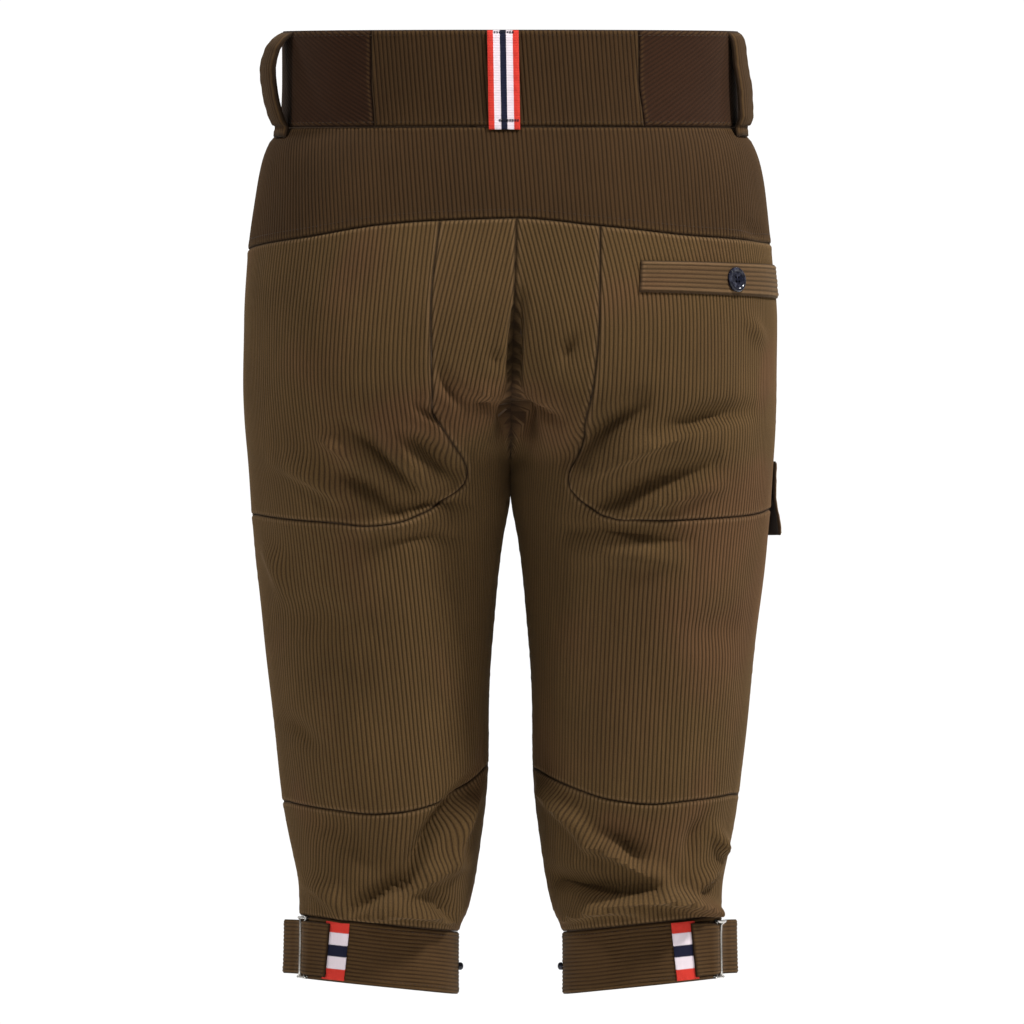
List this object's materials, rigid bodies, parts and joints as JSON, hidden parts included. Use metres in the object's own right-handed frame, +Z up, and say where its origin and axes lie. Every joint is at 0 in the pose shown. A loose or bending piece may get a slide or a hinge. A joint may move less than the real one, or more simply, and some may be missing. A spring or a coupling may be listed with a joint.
{
  "type": "knickerbockers",
  "caption": "Knee-length corduroy knickerbockers, filled out as when worn, with a curved seat yoke, seat panels, knee seams, buckled cuffs and striped ribbon tabs.",
  "frame": {"origin": "centre of the waistband's opening, at half its height", "axes": "+Z up, -Y the garment's front, +X its left leg"},
  "size_m": [0.3873, 0.2718, 0.6928],
  "materials": {
    "corduroy": "olive-brown wide-wale cotton corduroy, soft pile",
    "corduroy_bias": "the same corduroy cut on the diagonal, which looks darker",
    "ribbon": "ribbed ribbon in red, white, navy, white and red stripes",
    "button_navy": "dark navy, glossy rim",
    "buckle_steel": "plain nickel-plated wire"
  },
  "bodies": {
    "root": {"yoke": "corduroy", "seat_panel_left": "corduroy", "seat_panel_right": "corduroy", "back_leg_left": "corduroy", "back_leg_right": "corduroy", "calf_left": "corduroy", "calf_right": "corduroy", "front_leg_left": "corduroy", "front_leg_right": "corduroy", "waistband_back": "corduroy", "waistband_side_left": "corduroy_bias", "waistband_side_right": "corduroy_bias", "waistband_front_left": "corduroy", "waistband_front_right": "corduroy", "cuff_left": "corduroy", "cuff_right": "corduroy", "cuff_strap_left": "corduroy", "cuff_strap_right": "corduroy", "belt_loop_side_left": "corduroy", "belt_loop_side_right": "corduroy", "belt_loop_front_left": "corduroy", "belt_loop_front_right": "corduroy", "belt_loop_back": "ribbon", "welt_pocket": "corduroy", "thigh_pocket": "corduroy", "thigh_pocket_flap": "corduroy", "fly_placket": "corduroy", "cuff_ribbon_left": "ribbon", "cuff_ribbon_right": "ribbon", "cuff_buckle_left": "buckle_steel", "cuff_buckle_right": "buckle_steel", "cuff_stud_left": "button_navy", "cuff_stud_right": "button_navy", "waist_button": "button_navy", "welt_button": "button_navy"}
  },
  "joints": []
}
